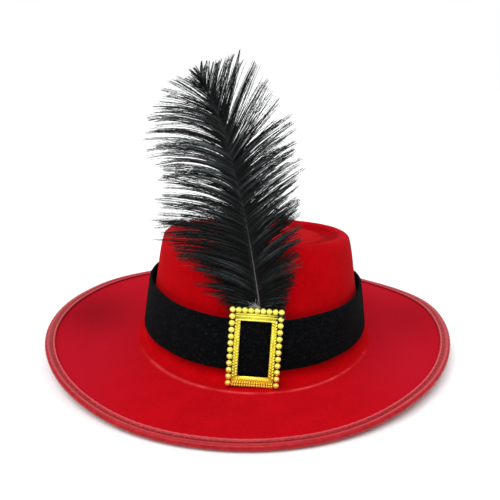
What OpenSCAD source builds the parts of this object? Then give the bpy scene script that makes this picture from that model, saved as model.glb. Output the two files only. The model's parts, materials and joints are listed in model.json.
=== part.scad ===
// Wide-brimmed felt costume hat with a black band, a gold buckle and an ostrich plume.
// Origin: middle of the brim, on the surface that it lies on. The front faces -Y and +Z is up.

/* [Brim] */
// Half of the brim's width, over the binding
brim_half_w = 170; // [160:1:185]
// How much longer than wide every ring of the hat is, on each half
oval_extra = 10; // [6:1:14]
// How far the brim's sides curl up above its front and back
side_lift = 11.2; // [0:0.2:20]
// Share of that curl that is missing at the back on the right
back_sag = 1; // [0:0.05:1]
// Thickness of the felt
felt_t = 2.4; // [1.8:0.1:2.6]
// Height of the faint mould ridge that runs round the crown's foot
ridge_h = 0.7; // [0:0.1:1.2]

/* [Crown] */
// Half of the crown's width at the foot of its wall
crown_foot_w = 92.3; // [91:0.1:92.6]
// Half of the crown's width at the top of the band
crown_band_w = 84.5; // [83:0.1:85]
// Half of the crown's width just under its rim
crown_top_w = 81; // [80:0.1:82]
// Height of the crown's top rim at its sides
crown_h = 92.4; // [88:0.1:98]
// How far the rim stands above the bottom of the groove inside it
moat_depth = 7.4; // [4:0.2:9]
// Rise of the crown's top per millimetre towards the front
top_slope = 0.12; // [0:0.01:0.14]
// How far the crown sits to the right of the brim's middle
crown_shift = 5.5; // [0:0.5:6]
// How far the crown leans to the right, per millimetre of height
crown_lean = 0.022; // [0:0.002:0.024]

/* [Edge binding] */
// Radius of the roll that the tape makes round the wire
roll_r = 2.4; // [2.2:0.1:2.8]
// Width of the tape on each side of the brim
tape_w = 8; // [7:0.5:12]
// Thickness of the tape
tape_t = 0.5; // [0.4:0.05:0.6]
// Radius of the steel wire in the edge
wire_r = 0.9; // [0.6:0.1:1]
// Number of stitches along the binding
binding_stitches_n = 120; // [60:10:160]

/* [Hat band] */
// Height of the band's lower edge
band_foot_z = 16; // [15:0.5:17]
// Height of the band's upper edge
band_top_z = 53; // [51:0.5:54]
// Half of the band's outer width at its lower edge
band_foot_w = 95.8; // [95.6:0.1:97]
// Half of the band's outer width at its upper edge
band_top_w = 90.2; // [90:0.1:92]
// Thickness of the band
band_t = 2.2; // [1.6:0.1:2.2]
// Fall of the band's upper edge towards the right, per millimetre
band_skew = 0.018; // [0:0.002:0.02]

/* [Buckle] */
// Width of the frame without its beads
buckle_w = 30; // [30:1:34]
// Height of the frame without its beads
buckle_h = 51.8; // [50:0.2:52]
// Width of the side bars
buckle_side = 4; // [3:0.5:6]
// Width of the top bar
buckle_head = 5.8; // [4:0.2:8]
// Width of the bottom bar
buckle_foot = 5.5; // [4:0.5:7]
// Thickness of the frame
buckle_t = 2.6; // [2:0.1:3.2]
// Clockwise turn of the buckle, seen from the front
buckle_turn = 4; // [0:1:6]
// Radius of the large beads
bead_r = 2.1; // [1.8:0.05:2.1]

/* [Plume] */
// Backward lean of the plume's plane
plume_lean = 4.8; // [3:0.2:5]
// Thickness of the vanes
vane_t = 1.6; // [1.2:0.1:1.8]
// Radius of the bare quill
quill_r = 1.3; // [1.1:0.1:1.3]
// Radius of the tack thread that the quill swings on
tack_r = 0.4; // [0.3:0.05:0.4]

/* [Sweatband] */
// Height of the sweatband's upper edge
sweat_top_z = 40; // [34:1:44]
// Thickness of the sweatband
sweat_t = 0.8; // [0.6:0.1:1]

/* [Hidden] */

ring_n = 64;                        // facets round every ring
small_fn = 24;                      // sides of a bead or thread
edge_z = roll_r;                    // height of the wire's middle at the front and back
wire_a = brim_half_w - roll_r;      // half-width of the wire's ring
felt_edge_a = wire_a - wire_r - 0.9;
lift_from = 105;                    // the brim is level inside this half-width
level_share = 0.25;                 // share of the half-width, each side of the middle, that stays down
sag_deg = 50;                       // direction of the middle of the sag, from the hat's right
sag_spread = 28;                    // and its spread in degrees
slope_from_z = 55;                  // the crown's top starts to slope here
slope_full_z = 84;
band_front_w = 12;                  // the band's extra half-length at its upper edge
band_foot_front_w = 11;             // the same at its lower edge
back = 90;                          // the back of every ring, in degrees
clear = 0.15;                       // gap between layers that only touch
wall_mid_z = 74;                    // height where the crown's wall starts to turn into its rim
shoulder_z = 82.5;                  // and where it meets the rim's curve
flat_a = 104;                       // half-width of the mould ridge on the brim
flat_z = 5.0;                       // height of the brim's upper side beside that ridge
brim_mid = [140, 4.9];              // a point half way out on the brim's upper side

function clamp01(x) = max(0, min(1, x));
function smooth(x) = let(c = clamp01(x)) c * c * (3 - 2 * c);
function mix(a, b, s) = a + (b - a) * s;

// Points of a circular arc in the half-width and height plane.
function arc(mid_a, mid_z, r, from, to, n) =
    [for (i = [0:n]) let(g = mix(from, to, i / n)) [mid_a + r * cos(g), mid_z + r * sin(g)]];

// The angle from middle to t, between minus and plus half a turn.
function turn_from(t, middle) = (t - middle + 540) % 360 - 180;

// How far the brim's edge is raised at angle t, and what share of that reaches half-width a.
function sag(t) = back_sag * exp(-pow(turn_from(t, sag_deg) / sag_spread, 2));
function lift(t) = (1 - sag(t))
    * side_lift * pow(clamp01((abs(cos(t)) - level_share) / (1 - level_share)), 1.5);
function lift_share(a) = pow(clamp01((a - lift_from) / (brim_half_w - lift_from)), 1.5);
function slope_share(z) = clamp01((z - slope_from_z) / (slope_full_z - slope_from_z));

// A point on the hat: a is the half-width of its ring, z its height and t its angle.
function hat_pt(a, z, t, extra = oval_extra) =
    let (b = a + extra * min(1, a / 60),
         crown = 1 - smooth((a - 90) / 50),
         x = a * cos(t),
         y = b * sin(t))
    [x + crown * (crown_shift + crown_lean * z), y,
     z + lift(t) * lift_share(a) - top_slope * y * slope_share(z) - crown * crown_lean * x];

// Half-width of the crown's outer wall at height z.
function wall_a(z) = crown_band_w
    + (crown_foot_w - crown_band_w) * (band_top_z - 1 - z) / (band_top_z - 1 - band_foot_z);
function band_a(z) = mix(band_foot_w, band_top_w, (z - band_foot_z) / (band_top_z - band_foot_z));
function band_extra(z) =
    mix(band_foot_front_w, band_front_w, (z - band_foot_z) / (band_top_z - band_foot_z));
function inner_wall_a(z) = wall_a(z) - felt_t;

// The outer surface of the felt from near the top's middle out to the brim's edge.
plateau_z = crown_h - 2.4;
rim_r = 5.4;
moat_r = 8;
foot_r = 8;
felt_profile = concat(
    [[28, plateau_z], [48, plateau_z - 0.8]],
    arc(61, crown_h - moat_depth + moat_r, moat_r, 215, 320, 4),
    arc(crown_top_w - 8.5, crown_h - rim_r, rim_r, 160, 8, 6),
    [[crown_top_w - 1.8, shoulder_z], [crown_top_w, wall_mid_z], [crown_band_w, band_top_z - 1],
     [crown_foot_w, band_foot_z]],
    arc(crown_foot_w + foot_r + 0.2, flat_z + foot_r + 0.1, foot_r, 190, 270, 4),
    [[flat_a - 2.5, flat_z + 0.1], [flat_a, flat_z + 0.1 + ridge_h], [flat_a + 2.5, flat_z], brim_mid,
     [brim_half_w - tape_w - 1.5, edge_z + felt_t / 2], [felt_edge_a, edge_z + felt_t / 2]]);

// The same line moved inwards by the felt's thickness.
function along(p, i) = p[min(i + 1, len(p) - 1)] - p[max(i - 1, 0)];
function inset(p, d) =
    [for (i = [0:len(p) - 1]) let(v = along(p, i)) p[i] + d * [v[1], -v[0]] / norm(v)];

// A closed section of [half-width, height] points swept round the whole hat.
module ring_sweep(section, extra = oval_extra) {
    m = len(section);
    points = [for (k = [0:ring_n - 1], q = section) hat_pt(q[0], q[1], 360 * k / ring_n, extra)];
    faces = [for (k = [0:ring_n - 1], i = [0:m - 1])
        let (j = (i + 1) % m, n = (k + 1) % ring_n)
        each [[k * m + i, n * m + i, n * m + j], [k * m + i, n * m + j, k * m + j]]];
    polyhedron(points = points, faces = faces, convexity = 8);
}

// The same section swept from one angle to another and closed at both ends.
module arc_sweep(section, from, to, steps, extra = oval_extra) {
    m = len(section);
    points = [for (k = [0:steps], q = section)
        hat_pt(q[0], q[1], mix(from, to, k / steps), extra)];
    sides = [for (k = [0:steps - 1], i = [0:m - 1])
        let (j = (i + 1) % m)
        each [[k * m + i, (k + 1) * m + i, (k + 1) * m + j], [k * m + i, (k + 1) * m + j, k * m + j]]];
    start = [for (i = [1:m - 2]) [0, i, i + 1]];
    end = [for (i = [1:m - 2]) [steps * m, steps * m + i + 1, steps * m + i]];
    polyhedron(points = points, faces = concat(sides, start, end), convexity = 4);
}

// A round thread between two points.
module thread(p, q, r) {
    v = q - p;
    translate(p) rotate([0, acos(v[2] / norm(v)), atan2(v[1], v[0])])
        cylinder(h = norm(v), r = r, $fn = small_fn);
}

// Moulded felt shell: crown and brim in one piece.
module felt_body() {
    inner = inset(felt_profile, felt_t);
    n = len(felt_profile);
    line = concat(felt_profile, [for (i = [n - 1:-1:0]) inner[i]]);
    m = len(line);
    top = ring_n * m;
    points = concat(
        [for (k = [0:ring_n - 1], q = line) hat_pt(q[0], q[1], 360 * k / ring_n)],
        [hat_pt(0, plateau_z, 0), hat_pt(0, plateau_z - felt_t, 0)]);
    skin = [for (k = [0:ring_n - 1], i = [0:m - 2])
        let (j = i + 1, s = (k + 1) % ring_n)
        each [[k * m + i, s * m + j, s * m + i], [k * m + i, k * m + j, s * m + j]]];
    caps = [for (k = [0:ring_n - 1])
        let (s = (k + 1) % ring_n)
        each [[top, k * m, s * m], [top + 1, s * m + m - 1, k * m + m - 1]]];
    color("crimson") polyhedron(points = points, faces = concat(skin, caps), convexity = 8);
}

// Spring-steel wire that keeps the brim's edge open.
module brim_wire() {
    section = [for (i = [0:5]) [wire_a + wire_r * cos(60 * i), edge_z + wire_r * sin(60 * i)]];
    color("silver") ring_sweep([for (i = [5:-1:0]) section[i]]);
}

// Crimped sleeve that joins the wire's two ends at the back.
module wire_joiner() {
    sleeve_l = 8;
    sleeve_t = 0.4;
    room = 0.3;
    color("gray") translate(hat_pt(wire_a, edge_z, back)) rotate([0, 90, 0]) difference() {
        cylinder(h = sleeve_l, r = wire_r + room + sleeve_t, center = true, $fn = small_fn);
        cylinder(h = sleeve_l + 1, r = wire_r + room, center = true, $fn = small_fn);
    }
}

// Satin tape folded over the edge, round the wire.
module brim_binding() {
    leg_z = felt_t / 2 + clear;
    from_a = brim_half_w - tape_w;
    near_a = wire_a - roll_r;
    function roll(r) = [for (g = [105:-30:-105])
        [wire_a, edge_z] + r / cos(15) * [cos(g), sin(g)]];
    inner = roll(roll_r - tape_t);
    section = concat(
        [[from_a, edge_z + leg_z + tape_t], [near_a, edge_z + leg_z + tape_t]],
        roll(roll_r),
        [[near_a, edge_z - leg_z - tape_t], [from_a, edge_z - leg_z - tape_t],
         [from_a, edge_z - leg_z], [near_a, edge_z - leg_z]],
        [for (i = [len(inner) - 1:-1:0]) inner[i]],
        [[near_a, edge_z + leg_z], [from_a, edge_z + leg_z]]);
    color("firebrick") ring_sweep(section);
}

// One row of machine stitches along the tape's inner edge.
module binding_stitches() {
    stitch_r = 0.25;
    a = brim_half_w - tape_w + 1.5;
    z = edge_z + felt_t / 2 + clear + tape_t + stitch_r + 0.3;
    step = 360 / binding_stitches_n;
    color("darkred") for (i = [0:binding_stitches_n - 1])
        thread(hat_pt(a, z, step * i), hat_pt(a, z, step * (i + 0.6)), stitch_r);
}

// Leatherette strip inside the crown's foot, between the head and the felt.
module sweatband() {
    gap = 0.3;
    function line(d) = [for (z = [band_foot_z, sweat_top_z]) [inner_wall_a(z) - d, z]];
    outer = line(gap);
    inside = line(gap + sweat_t);
    color([0.1, 0.1, 0.1]) ring_sweep([outer[0], inside[0], inside[1], outer[1]]);
}

// Row of stitches that holds the sweatband's lower edge to the felt.
module sweatband_stitches() {
    count = 72;
    z = band_foot_z + 2.5;
    a = inner_wall_a(z) - 1.5;
    color("dimgray") for (i = [0:count - 1])
        thread(hat_pt(a, z, 360 * i / count), hat_pt(a, z, 360 * (i + 0.55) / count), 0.2);
}

// Zigzag that joins the sweatband's two ends at the back.
module sweatband_join_stitches() {
    count = 8;
    zig_deg = 1;
    rise = (sweat_top_z - band_foot_z - 8) / count;
    color("dimgray") for (i = [0:count - 1]) {
        z = band_foot_z + 5 + rise * i;
        side = i % 2 == 0 ? zig_deg : -zig_deg;
        thread(hat_pt(inner_wall_a(z) - 1.6, z, back - side),
               hat_pt(inner_wall_a(z + rise) - 1.6, z + rise - 0.6, back + side), 0.2);
    }
}

// Blank satin label sewn to the sweatband, beside its join.
label_from = back + 8;
label_to = back + 22;
label_foot_z = band_foot_z + 6;
label_top_z = sweat_top_z - 4;
module size_label() {
    function face(d) = [for (z = [label_foot_z, label_top_z]) [inner_wall_a(z) - d, z]];
    near = face(1.4);
    far = face(1.7);
    color("white") arc_sweep([near[0], far[0], far[1], near[1]], label_from, label_to, 6);
}

// Stitches down both ends of the label.
module label_stitches() {
    count = 4;
    rise = (label_top_z - label_foot_z) / count;
    color("silver") for (t = [label_from + 1, label_to - 1], i = [0:count - 1]) {
        z = label_foot_z + rise * (i + 0.2);
        thread(hat_pt(inner_wall_a(z) - 2, z, t),
               hat_pt(inner_wall_a(z + rise * 0.6) - 2, z + rise * 0.6, t), 0.15);
    }
}

// Straight strip of felt round the tapering crown, so that it stands off at its upper edge.
lap_deg = 12;
lap_rise = 0.6 * band_t;
module hat_band() {
    steps = 4;
    zs = [for (i = [0:steps]) mix(band_foot_z, band_top_z, i / steps)];
    m = 2 * (steps + 1);
    function lap(t) = abs(t - back) < lap_deg ? lap_rise : 0;
    function skewed(p, i) = p - [0, 0, band_skew * p[0] * i / steps];
    points = [for (k = [0:ring_n - 1]) let (t = 360 * k / ring_n) each concat(
        [for (i = [0:steps]) let (z = zs[i])
            skewed(hat_pt(band_a(z) + lap(t), z, t, band_extra(z)), i)],
        [for (i = [steps:-1:0]) let (z = zs[i])
            skewed(hat_pt(band_a(z) - band_t, z, t, band_extra(z)), i)])];
    faces = [for (k = [0:ring_n - 1], i = [0:m - 1])
        let (j = (i + 1) % m, n = (k + 1) % ring_n)
        each [[k * m + i, n * m + j, n * m + i], [k * m + i, k * m + j, n * m + j]]];
    color([0.08, 0.08, 0.09]) polyhedron(points = points, faces = faces, convexity = 8);
}

// Hand stitches that close the band's lapped ends at the back.
module band_end_stitches() {
    count = 5;
    rise = (band_top_z - band_foot_z - 6) / count;
    color([0.2, 0.2, 0.2]) for (i = [0:count - 1]) {
        z = band_foot_z + 4 + rise * i;
        a = band_a(z) + lap_rise + 0.9;
        thread(hat_pt(a, z, back - lap_deg / 2, band_extra(z)),
               hat_pt(a, z + 2, back - 3.5, band_extra(z)), 0.3);
    }
}

// Spots of hot glue that hold the band's lower half to the crown.
module band_glue_spots() {
    z0 = band_foot_z + 3;
    z1 = z0 + 6;
    half = 3;
    section = [[wall_a(z0) + 0.2, z0], [band_a(z0) - band_t - 0.2, z0],
               [band_a(z1) - band_t - 0.2, z1], [wall_a(z1) + 0.2, z1]];
    color("ivory") for (t = [0, 45, 90, 135, 180, 235, 305])
        arc_sweep([for (i = [3:-1:0]) section[i]], t - half, t + half, 3);
}

// Frame of reference of the buckle: its back lies in the local z = 0 plane, front towards +z.
buckle_mid_z = 33.4;
buckle_gap = 1;
foot_out = 2;                       // the brim pushes the buckle's foot out by this many degrees
buckle_tilt = foot_out + atan((band_foot_w + band_foot_front_w - band_top_w - band_front_w)
                              / (band_top_z - band_foot_z));
module on_buckle() {
    y = -(band_a(buckle_mid_z) + band_extra(buckle_mid_z)) - buckle_gap;
    translate([crown_shift - 0.5, y, buckle_mid_z]) rotate([90 - buckle_tilt, 0, 0])
        rotate([0, 0, -buckle_turn]) children();
}

// Metallised frame with no prong.
module buckle_frame() {
    window_w = buckle_w - 2 * buckle_side;
    window_h = buckle_h - buckle_head - buckle_foot;
    lip = 0.8;
    window_y = (buckle_foot - buckle_head) / 2;
    color("gold") on_buckle() difference() {
        union() {
            translate([-buckle_w / 2, -buckle_h / 2, 0]) cube([buckle_w, buckle_h, buckle_t - lip]);
            translate([-buckle_w / 2 + lip, -buckle_h / 2 + lip, 0])
                cube([buckle_w - 2 * lip, buckle_h - 2 * lip, buckle_t]);
        }
        translate([-window_w / 2, window_y - window_h / 2, -1])
            cube([window_w, window_h, buckle_t + 2]);
    }
}

// Large beads along the top and both sides of the frame.
bead_pitch_side = (buckle_h + bead_r - 0.5) / 11;
module buckle_beads() {
    x = buckle_w / 2 + bead_r + 0.02;
    y = buckle_h / 2 + bead_r + 0.02;
    color("khaki") on_buckle() {
        for (i = [0:8]) translate([-x + 2 * x * i / 8, y, bead_r]) bead(bead_r);
        for (s = [-1, 1], i = [1:11])
            translate([s * x, y - bead_pitch_side * i, bead_r]) bead(bead_r);
    }
}
module bead(r) sphere(r = r, $fn = small_fn);

// Row of small beads under the bottom bar.
module buckle_foot_beads() {
    count = 17;
    r = buckle_w / count / 2 - 0.02;
    color("goldenrod") on_buckle() for (i = [0:count - 1])
        translate([(i - (count - 1) / 2) * buckle_w / count, -buckle_h / 2 - r - 0.02, r]) bead(r);
}

// Pads of hot glue between the band and the buckle's side bars.
module buckle_glue_pads() {
    pad_t = 1.15;
    color("ivory") on_buckle() for (s = [-1, 1], y = [-10, 0, 10])
        translate([s * (buckle_w - buckle_side) / 2, y, -pad_t - 0.05])
            cylinder(h = pad_t, r = 1.8, $fn = small_fn);
}

// Frame of reference of the plume: x sideways, y up along its plane, z out towards the front.
tack_x = 11.3;
tack_z = 44;
plume_front_y = -97.5;                // where the plume's plane passes the band's upper edge
tack_y = plume_front_y + (tack_z - band_top_z) * tan(plume_lean);
module on_plume() {
    translate([tack_x, tack_y, tack_z]) rotate([90 - plume_lean, 0, 0]) children();
}

// Thread tack through crown and quill, with a knot in front and a bar stitch inside.
module plume_tack() {
    knot_r = 1.2;
    knot_z = quill_r + 0.15;
    inside_z = -5.4;
    color([0.25, 0.25, 0.25]) on_plume() {
        translate([0, 0, inside_z]) cylinder(h = knot_z + 0.3 - inside_z, r = tack_r, $fn = small_fn);
        translate([0, 0, knot_z]) cylinder(h = 0.6, r = knot_r, $fn = small_fn);
        translate([-2.5, 0, inside_z]) rotate([0, 90, 0]) cylinder(h = 5, r = tack_r, $fn = small_fn);
    }
}

// Bare end of the feather, pierced for the tack.
quill_foot = -7;
quill_top = 6;
quill_turn = atan(0.13);            // follows the shaft's first direction
module on_quill() on_plume() rotate([0, 0, quill_turn]) children();
module plume_quill() {
    color("tan") on_quill() difference() {
        translate([0, quill_foot, 0]) rotate([-90, 0, 0])
            cylinder(h = quill_top - quill_foot, r = quill_r, $fn = small_fn);
        translate([0, 0, -quill_r - 1]) cylinder(h = 2 * quill_r + 2, r = tack_r + 0.05, $fn = small_fn);
    }
}

// Thread whipped round the quill where the shaft starts.
module plume_thread_wrap() {
    coil_r = 0.2;
    color("black") on_quill() for (y = [2.4:0.45:5.6])
        translate([0, y, 0]) rotate([90, 0, 0]) rotate_extrude($fn = small_fn)
            translate([quill_r + coil_r + 0.02, 0]) circle(r = coil_r, $fn = small_fn);
}

// Line of the shaft in the plume's plane: a cubic curve through four handles.
shaft = [[-0.8, 6.2], [-8, 56], [-17, 128], [-42, 177]];
shaft_tip_r = 0.35;
function bezier(p, s) = let (q = 1 - s)
    q * q * q * p[0] + 3 * q * q * s * p[1] + 3 * q * s * s * p[2] + s * s * s * p[3];
function bezier_way(p, s) = let (q = 1 - s, v = 3 * (q * q * (p[1] - p[0])
    + 2 * q * s * (p[2] - p[1]) + s * s * (p[3] - p[2]))) v / norm(v);
function shaft_r(s) = mix(quill_r, shaft_tip_r, s);

module plume_shaft() {
    steps = 20;
    sides = 8;
    points = [for (k = [0:steps], i = [0:sides - 1])
        let (s = k / steps, c = bezier(shaft, s), w = bezier_way(shaft, s), r = shaft_r(s),
             g = 360 * i / sides)
        [c[0] + r * cos(g) * w[1], c[1] - r * cos(g) * w[0], r * sin(g)]];
    skin = [for (k = [0:steps - 1], i = [0:sides - 1]) let (j = (i + 1) % sides)
        each [[k * sides + i, (k + 1) * sides + i, (k + 1) * sides + j],
              [k * sides + i, (k + 1) * sides + j, k * sides + j]]];
    foot = [for (i = [1:sides - 2]) [0, i, i + 1]];
    tip = [for (i = [1:sides - 2]) [steps * sides, steps * sides + i + 1, steps * sides + i]];
    color([0.35, 0.31, 0.3]) on_plume()
        polyhedron(points = points, faces = concat(skin, foot, tip), convexity = 4);
}

// Outline of each vane from its foot to the tip, rounded through its corners.
vane_tip = [-12, 190];
vane_foot_s = 0.04;
left_line = [[-14, 15], [-32, 24], [-54, 48], [-70, 72], [-76, 100], [-83, 136], [-76, 154],
             [-50, 173], [-30, 188], vane_tip];
right_line = [[9, 13], [26, 23], [29, 45], [27, 90], [25, 115], [21, 145], [9, 168],
              [0, 187], vane_tip];
// Each corner becomes a short curve between the middles of its two sides.
function rounded(p, n = 3) = concat([p[0]],
    [for (i = [1:len(p) - 2], k = [0:n])
        let (s = k / n, a = (p[i - 1] + p[i]) / 2, b = (p[i] + p[i + 1]) / 2)
        (1 - s) * (1 - s) * a + 2 * s * (1 - s) * p[i] + s * s * b],
    [p[len(p) - 1]]);

// A flat plate between the shaft and one outline. side is -1 for the left and 1 for the right.
module vane(outline, side) {
    steps = 16;
    inner = [for (k = [0:steps])
        let (s = mix(vane_foot_s, 1, k / steps), c = bezier(shaft, s), w = bezier_way(shaft, s))
        c + side * (shaft_r(s) + 0.1) * [w[1], -w[0]]];
    outer = rounded(outline);
    above = vane_tip + side * [0.1, -0.3];
    color([0.07, 0.08, 0.09]) on_plume() translate([0, 0, -vane_t / 2]) linear_extrude(vane_t)
        polygon(concat(inner, [above], [for (i = [len(outer) - 2:-1:0]) outer[i]]));
}
module plume_vane_left() vane(left_line, -1);
module plume_vane_right() vane(right_line, 1);

// Tuft of pale down at the foot of the vanes.
module plume_down() {
    r = 1.1;
    color("gainsboro") on_plume() for (i = [0:2])
        translate([-4 - 1.9 * i, 19 + 0.9 * i, vane_t / 2 + r + 0.05]) sphere(r = r, $fn = small_fn);
}

felt_body();
brim_wire();
wire_joiner();
brim_binding();
binding_stitches();
sweatband();
sweatband_stitches();
sweatband_join_stitches();
size_label();
label_stitches();
hat_band();
band_end_stitches();
band_glue_spots();
buckle_frame();
buckle_beads();
buckle_foot_beads();
buckle_glue_pads();
plume_tack();
plume_quill();
plume_thread_wrap();
plume_shaft();
plume_vane_left();
plume_vane_right();
plume_down();
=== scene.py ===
"""The looks of a wide-brimmed felt costume hat with a black band, a gold buckle and an ostrich plume.

The builders work in millimetres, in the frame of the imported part, and put_mesh() turns them into metres.
The hat's rings are ovals: a is a ring's half-width, z its height and t the angle round it, 0 at +X.
"""

import json
import math

import bpy
import numpy as np
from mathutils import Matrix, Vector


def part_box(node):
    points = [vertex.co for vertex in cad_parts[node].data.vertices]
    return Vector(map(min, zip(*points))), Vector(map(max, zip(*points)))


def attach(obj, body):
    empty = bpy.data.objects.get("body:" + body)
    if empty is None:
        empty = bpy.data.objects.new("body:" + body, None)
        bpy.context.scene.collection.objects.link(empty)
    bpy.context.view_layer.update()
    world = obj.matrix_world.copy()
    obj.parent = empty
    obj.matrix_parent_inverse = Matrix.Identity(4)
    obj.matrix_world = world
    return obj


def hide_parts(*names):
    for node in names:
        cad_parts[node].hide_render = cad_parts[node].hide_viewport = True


MM = 0.001
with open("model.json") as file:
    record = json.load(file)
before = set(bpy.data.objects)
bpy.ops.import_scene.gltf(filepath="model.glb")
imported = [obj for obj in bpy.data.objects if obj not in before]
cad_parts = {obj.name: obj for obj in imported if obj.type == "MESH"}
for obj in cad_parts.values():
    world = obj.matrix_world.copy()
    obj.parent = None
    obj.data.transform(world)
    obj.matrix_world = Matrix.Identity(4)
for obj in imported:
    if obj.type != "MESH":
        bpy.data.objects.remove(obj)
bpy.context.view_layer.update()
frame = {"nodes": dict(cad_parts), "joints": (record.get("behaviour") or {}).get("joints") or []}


# -------------------- sizes in millimetres: the brim's from the frame, the rest as in the part's source

def box_mm(node):
    """Lowest and highest corner of a CAD node, in millimetres."""
    low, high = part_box(node)
    return np.array(low) / MM, np.array(high) / MM


BRIM_HIGH = box_mm("brim_binding")[1]
BRIM_HALF_W = BRIM_HIGH[0]
OVAL_EXTRA = BRIM_HIGH[1] - BRIM_HALF_W
SIDE_LIFT = 11.2
LEVEL_SHARE = 0.25
LIFT_FROM = 105
BACK_SAG = 1.0
SAG_AT = math.radians(50)
SAG_SPREAD = math.radians(28)
FELT_T = 2.4
ROLL_R = 2.4
TAPE_T = 0.5
WIRE_A = BRIM_HALF_W - ROLL_R
EDGE_Z = ROLL_R
CROWN_SHIFT = 5.5
CROWN_LEAN = 0.022
CROWN_FOOT_W = 92.3
CROWN_BAND_W = 84.5
CROWN_TOP_W = 81
CROWN_H = 92.4
MOAT_DEPTH = 7.4
MOAT_MID_A = 61
MOAT_R = 8
RIM_R = 5.4
SHOULDER_Z = 82.5
WALL_MID_Z = 74
FOOT_R = 8
BRIM_TOP_Z = 5.0
TOP_SLOPE = 0.12
SLOPE_FROM_Z = 55
SLOPE_FULL_Z = 84
BAND_FOOT_Z = 16
BAND_TOP_Z = 53
BAND_SKEW = 0.018
BAND_FOOT_W = 95.8
BAND_TOP_W = 90.2
BAND_FOOT_EXTRA = 11
BAND_TOP_EXTRA = 12
BAND_T = 2.2
SWEAT_TOP_Z = 40
BACK = math.radians(90)
FRONT = math.radians(270)
FULL_TURN = 2 * math.pi

HINGE = frame["joints"][0]
TACK = np.array(HINGE["pos_m"] if "pos_m" in HINGE else HINGE["pos"]) / MM
PLUME_OUT = np.array(HINGE["axis"], float)
PLUME_UP = np.array([0, PLUME_OUT[2], -PLUME_OUT[1]])


def clamp01(x):
    return np.clip(x, 0, 1)


def smooth(x):
    c = clamp01(x)
    return c * c * (3 - 2 * c)


def mix(a, b, s):
    return a + (b - a) * s


def bell(x, width):
    """1 where x is 0, and next to nothing two widths away."""
    return np.exp(-(x / width) ** 2)


def unit(v):
    """Vectors, along the last axis, at length 1."""
    return v / (np.linalg.norm(v, axis=-1, keepdims=True) + 1e-9)


def rotated(x, y, g):
    """x and y turned by the angle g."""
    return math.cos(g) * x - math.sin(g) * y, math.sin(g) * x + math.cos(g) * y


# -------------------- the hat's form

def turn_from(t, middle):
    """The angle from middle to t, between minus and plus half a turn."""
    return (t - middle + math.pi) % FULL_TURN - math.pi


def sag(t):
    """1 at the back on the right, where the brim lies lowest."""
    return bell(turn_from(t, SAG_AT), SAG_SPREAD)


def lift(t):
    """How far the brim's edge is raised at angle t."""
    curl = SIDE_LIFT * clamp01((abs(np.cos(t)) - LEVEL_SHARE) / (1 - LEVEL_SHARE)) ** 1.5
    return curl * (1 - BACK_SAG * sag(t))


def lift_share(a):
    return clamp01((a - LIFT_FROM) / (BRIM_HALF_W - LIFT_FROM)) ** 1.5


def slope_share(z):
    return clamp01((z - SLOPE_FROM_Z) / (SLOPE_FULL_Z - SLOPE_FROM_Z))


def all_round(turns):
    """Angles round the hat, as a column."""
    return np.linspace(0, FULL_TURN, turns, endpoint=False)[:, None]


def away_from_front(t):
    """0 at the middle of the front, where buckle and plume sit, and 1 from 40 degrees either side."""
    return smooth(abs(turn_from(t, FRONT)) / math.radians(40))


def hat_points(a, z, t, extra=OVAL_EXTRA):
    """Points on the hat, with moulded felt's unevenness: ripples in the brim and flats in the crown."""
    a, z, t = np.broadcast_arrays(np.asarray(a, float), np.asarray(z, float), np.asarray(t, float))
    crown = 1 - smooth((a - 90) / 50)
    flats = 0.4 * np.sin(3 * t + 0.7) + 0.3 * np.sin(5 * t + 2.1 + z / 40) + 0.2 * np.sin(9 * t + z / 25)
    a = a + crown * away_from_front(t) * flats * clamp01(a / 60)
    b = a + extra * clamp01(a / 60)
    x = a * np.cos(t)
    y = b * np.sin(t)
    ripple = 0.4 * (1 + np.sin(4 * t + 0.4)) + 0.3 * (1 + np.sin(7 * t + 1.9)) + 0.15 * (1 + np.sin(13 * t))
    ripple = ripple * (1 - 0.8 * sag(t))
    lean = -TOP_SLOPE * y * slope_share(z) - crown * CROWN_LEAN * x
    return np.stack([x + crown * (CROWN_SHIFT + CROWN_LEAN * z), y,
                     z + lean + lift_share(a) * (lift(t) + ripple)], -1)


def wall_a(z):
    """Half-width of the crown's outer wall at height z."""
    top_z = BAND_TOP_Z - 1
    return CROWN_BAND_W + (CROWN_FOOT_W - CROWN_BAND_W) * (top_z - z) / (top_z - BAND_FOOT_Z)


def band_share(z):
    return (z - BAND_FOOT_Z) / (BAND_TOP_Z - BAND_FOOT_Z)


def band_a(z):
    return mix(BAND_FOOT_W, BAND_TOP_W, band_share(z))


def band_extra(z):
    return mix(BAND_FOOT_EXTRA, BAND_TOP_EXTRA, band_share(z))


def arc(mid_a, mid_z, r, start, end, n):
    """Points of a circular arc in the half-width and height plane, angles in degrees."""
    g = np.radians(np.linspace(start, end, n))
    return np.stack([mid_a + r * np.cos(g), mid_z + r * np.sin(g)], -1)


def resample(points, step):
    """The same polyline with its points about step apart."""
    points = np.asarray(points, float)
    gaps = np.linalg.norm(np.diff(points, axis=0), axis=1)
    way = np.concatenate([[0], np.cumsum(gaps)])
    at = np.linspace(0, way[-1], max(2, round(way[-1] / step)) + 1)
    return np.stack([np.interp(at, way, points[:, i]) for i in range(points.shape[1])], -1)


def relax(points, passes):
    """The polyline with its corners softened; its ends stay."""
    p = np.array(points, float)
    for _ in range(passes):
        p[1:-1] = 0.25 * p[:-2] + 0.5 * p[1:-1] + 0.25 * p[2:]
    return p


def right_of(points):
    """Directions to the right of a polyline, at each of its points."""
    ahead = np.gradient(points, axis=0)
    return unit(np.stack([ahead[:, 1], -ahead[:, 0]], -1))


# -------------------- mesh helpers

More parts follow.
